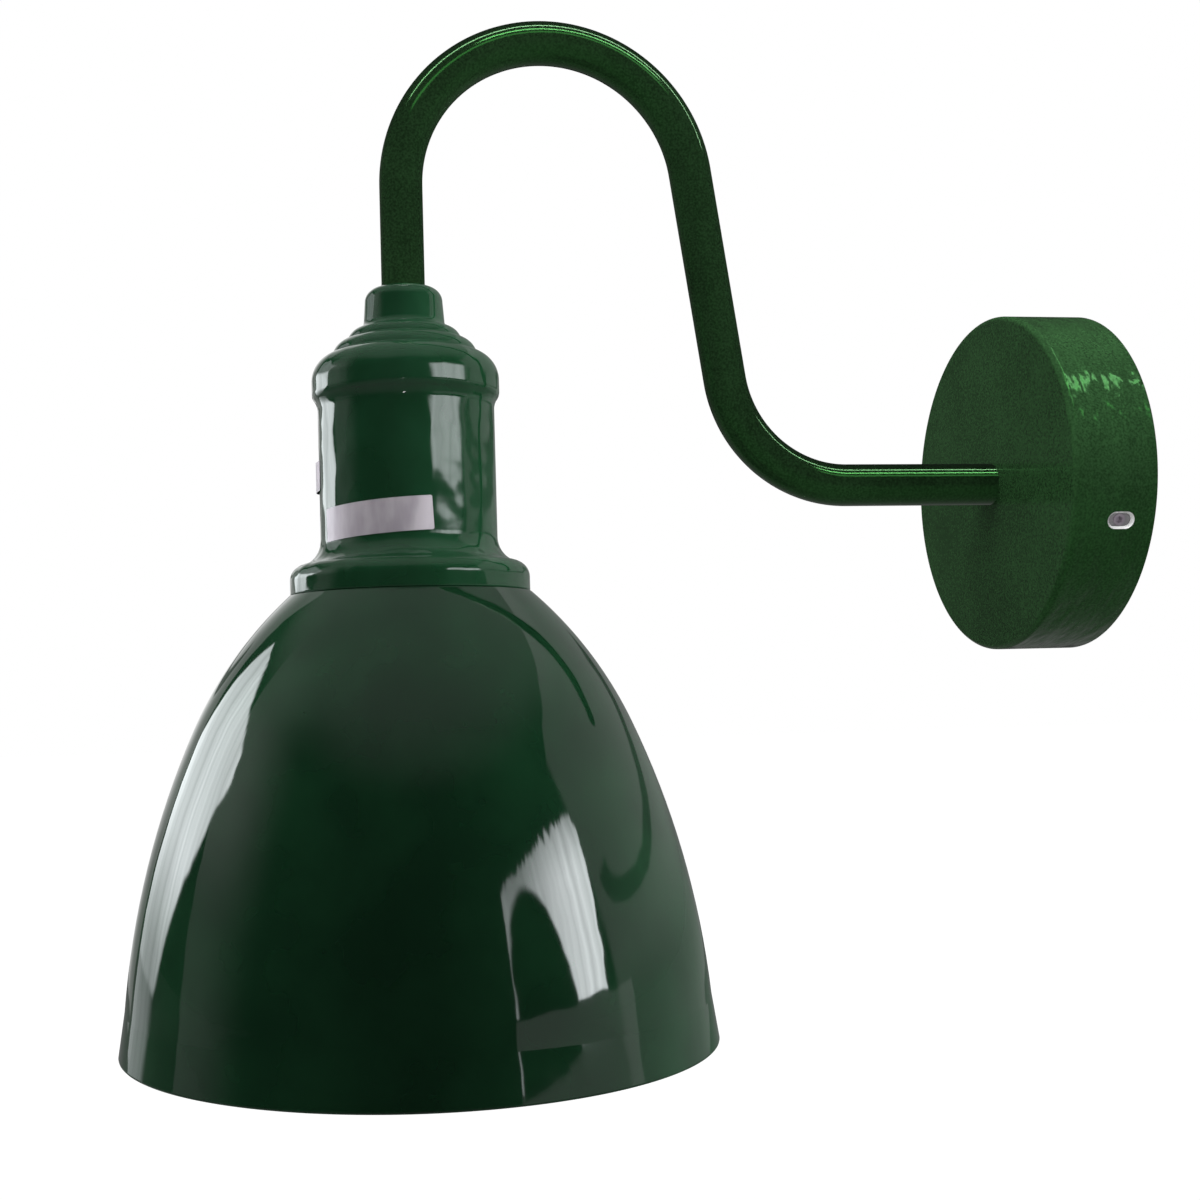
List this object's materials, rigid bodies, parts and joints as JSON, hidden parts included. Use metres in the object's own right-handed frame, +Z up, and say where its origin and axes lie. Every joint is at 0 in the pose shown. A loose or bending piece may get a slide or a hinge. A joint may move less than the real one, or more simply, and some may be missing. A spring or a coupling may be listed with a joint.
{
  "type": "gooseneck wall sconce",
  "caption": "Wall light with a round wall rose, a swan-neck tube arm and a bell shade clamped under a stepped lamp cup.",
  "frame": {"origin": "centre of the wall rose on the wall plane, on the bracket's back face", "axes": "+Z up, +Y into the wall, so the lamp hangs towards -Y; the arm lies in the plane x = 0"},
  "size_m": [0.2, 0.342, 0.3516],
  "materials": {
    "powder_green": "fine satin powder coat",
    "gloss_green": "deep gloss stove enamel",
    "zinc_steel": "galvanised sheet",
    "plated_steel": "bright zinc plate",
    "natural_nylon": "natural nylon",
    "brass": "bright brass",
    "foil_label": "blank metallised foil",
    "black_resin": "moulded thermoset",
    "ceramic": "unglazed steatite",
    "brown_sleeve": "insulation",
    "blue_sleeve": "insulation",
    "earth_sleeve": "insulation"
  },
  "bodies": {
    "root": {"canopy": "powder_green", "wall_bracket": "zinc_steel", "canopy_set_screws": "plated_steel", "terminal_block": "natural_nylon", "terminal_inserts": "brass", "terminal_clamp_screws": "plated_steel", "terminal_fixing_screws": "plated_steel", "earth_lug": "brass", "earth_screw": "plated_steel", "arm_tube": "powder_green", "arm_wall_stud": "plated_steel", "arm_washer": "plated_steel", "arm_nut": "plated_steel", "cable_bush": "natural_nylon", "arm_lamp_plug": "plated_steel", "hollow_rod": "plated_steel", "socket_cup": "gloss_green", "cup_washer": "plated_steel", "cup_nut": "plated_steel", "rating_label": "foil_label", "side_label": "foil_label", "holder_cap": "black_resin", "holder_grub_screw": "plated_steel", "holder_skirt": "black_resin", "holder_core": "ceramic", "screw_shell": "brass", "holder_terminals": "brass", "holder_terminal_screws": "plated_steel", "holder_rivets": "brass", "live_bridge": "brass", "contact_spring": "plated_steel", "wire_live": "brown_sleeve", "wire_neutral": "blue_sleeve", "wire_earth": "earth_sleeve"},
    "shade": {"shade": "gloss_green"},
    "shade_ring": {"shade_ring": "black_resin"},
    "contact": {"centre_contact": "brass"}
  },
  "joints": [
    {"name": "shade_drop", "type": "slide", "parent": "root", "child": "shade", "axis": [0, 0, -1], "range_m": [0, 0.01]},
    {"name": "ring_turn", "type": "hinge", "parent": "shade", "child": "shade_ring", "pos_m": [0, -0.242, -0.041], "axis": [0, 0, -1], "range_deg": [0, 1440]},
    {"name": "contact_press", "type": "slide", "parent": "root", "child": "contact", "axis": [0, 0, 1], "range_m": [0, 0.0025], "stiffness_N_per_m": 800, "springref_m": -0.001, "deforming": ["contact_spring"]}
  ],
  "couplings": [
    {"joint": "ring_turn", "follows": "shade_drop", "rad_per_m": 2513.3}
  ]
}
